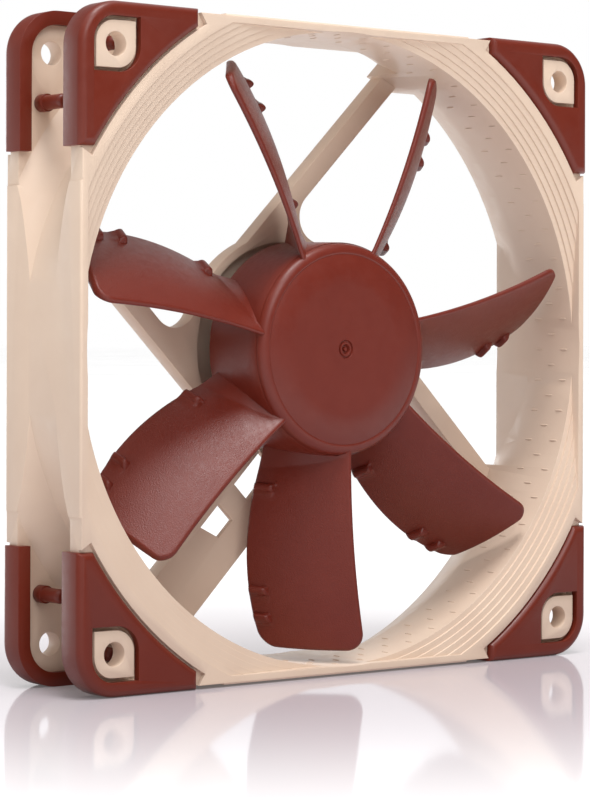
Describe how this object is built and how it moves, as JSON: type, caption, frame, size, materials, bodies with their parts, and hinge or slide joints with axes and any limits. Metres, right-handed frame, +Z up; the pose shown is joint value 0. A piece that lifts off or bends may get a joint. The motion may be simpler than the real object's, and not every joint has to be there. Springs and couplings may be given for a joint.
{
  "type": "case fan",
  "caption": "Square axial case fan with a stepped round inlet, a tangential-strut motor mount, a seven-blade impeller and soft corner pads.",
  "frame": {"origin": "centre of the fan: on the impeller's axis, halfway through the depth", "axes": "+Y along the impeller's axis towards the outlet side with the struts, +Z up, +X right seen from the intake side"},
  "size_m": [0.12, 0.025, 0.12],
  "materials": {
    "frame_plastic": "fine textured matte beige plastic",
    "pad_rubber": "satin reddish brown soft rubber",
    "impeller_plastic": "satin reddish brown plastic with a fine grain on the blades",
    "yoke_steel": "drawn steel",
    "magnet_ferrite": "dark bonded ferrite",
    "shaft_steel": "ground steel",
    "boss_brass": "turned brass or bronze",
    "insulator_plastic": "moulded dark insulation plastic",
    "lamination_steel": "stamped steel laminations",
    "coil_copper": "enamelled copper wire",
    "board_green": "solder mask on glass fibre board",
    "chip_black": "moulded chip package",
    "component_tan": "ceramic surface mount parts",
    "solder_tin": "tinned copper",
    "label_silver": "blank satin label"
  },
  "bodies": {
    "housing": {"frame": "frame_plastic", "front_pad_top_right": "pad_rubber", "front_pad_top_left": "pad_rubber", "front_pad_bottom_left": "pad_rubber", "front_pad_bottom_right": "pad_rubber", "rear_pad_top_right": "pad_rubber", "rear_pad_top_left": "pad_rubber", "rear_pad_bottom_left": "pad_rubber", "rear_pad_bottom_right": "pad_rubber", "bearing_sleeve": "boss_brass", "retaining_ring": "insulator_plastic", "thrust_pad": "insulator_plastic", "stator_core": "lamination_steel", "upper_insulator": "insulator_plastic", "lower_insulator": "insulator_plastic", "coil_1": "coil_copper", "coil_2": "coil_copper", "coil_3": "coil_copper", "coil_4": "coil_copper", "circuit_board": "board_green", "driver_chip": "chip_black", "board_components": "component_tan", "wire_solder_pads": "solder_tin", "rear_label": "label_silver"},
    "rotor": {"impeller": "impeller_plastic", "rotor_yoke": "yoke_steel", "ring_magnet": "magnet_ferrite", "shaft": "shaft_steel", "shaft_boss": "boss_brass", "shaft_clip": "shaft_steel"}
  },
  "joints": [
    {"name": "rotor_spin", "type": "hinge", "parent": "housing", "child": "rotor", "pos_m": [0, 0, 0], "axis": [0, -1, 0], "continuous": true}
  ]
}
